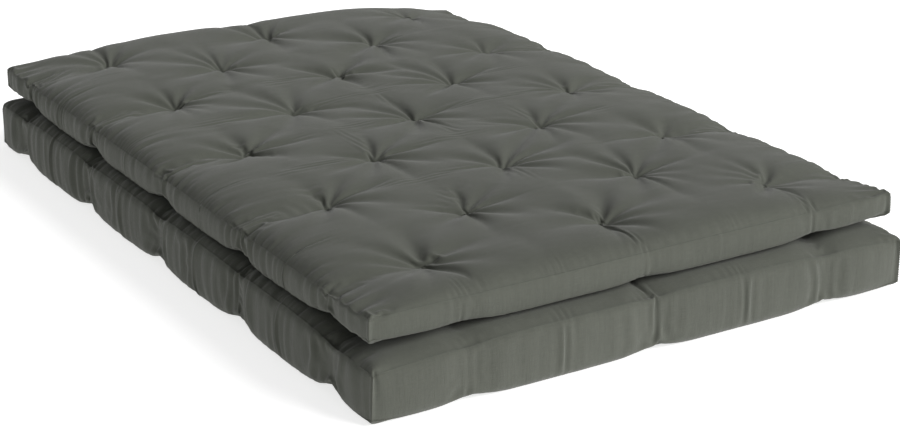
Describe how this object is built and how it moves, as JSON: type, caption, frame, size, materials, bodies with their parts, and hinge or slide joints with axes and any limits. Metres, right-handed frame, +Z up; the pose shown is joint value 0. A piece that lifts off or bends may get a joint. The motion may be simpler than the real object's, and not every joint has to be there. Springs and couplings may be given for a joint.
{
  "type": "futon mattress",
  "caption": "Tufted futon mattress in canvas: a thick lower futon with a thinner matching futon lying loose on top.",
  "frame": {"origin": "centre of the lower futon's floor face", "axes": "+Z up, +Y along the length, +X across the width"},
  "size_m": [1.402, 2.002, 0.2523],
  "materials": {
    "canvas_top": "matte",
    "canvas_band": "matte",
    "cotton_felt": "matte",
    "foam": "matte",
    "thread": "matte"
  },
  "bodies": {
    "lower_futon": {"lower_bottom_panel": "canvas_top", "lower_left_band": "canvas_band", "lower_right_band": "canvas_band", "lower_front_band": "canvas_band", "lower_back_band": "canvas_band", "lower_top_panel": "canvas_top", "lower_bottom_felt": "cotton_felt", "lower_inner_bottom_felt": "cotton_felt", "lower_foam_core": "foam", "lower_inner_top_felt": "cotton_felt", "lower_top_felt": "cotton_felt", "lower_tuft_ties": "thread", "lower_seam_thread": "thread"},
    "upper_futon": {"upper_bottom_panel": "canvas_top", "upper_left_band": "canvas_band", "upper_right_band": "canvas_band", "upper_front_band": "canvas_band", "upper_back_band": "canvas_band", "upper_top_panel": "canvas_top", "upper_bottom_felt": "cotton_felt", "upper_foam_core": "foam", "upper_top_felt": "cotton_felt", "upper_tuft_ties": "thread", "upper_seam_thread": "thread"}
  },
  "joints": [
    {"name": "upper_futon_lift", "type": "slide", "parent": "lower_futon", "child": "upper_futon", "axis": [0, 0, 1], "range_m": [0, 0.3]}
  ]
}
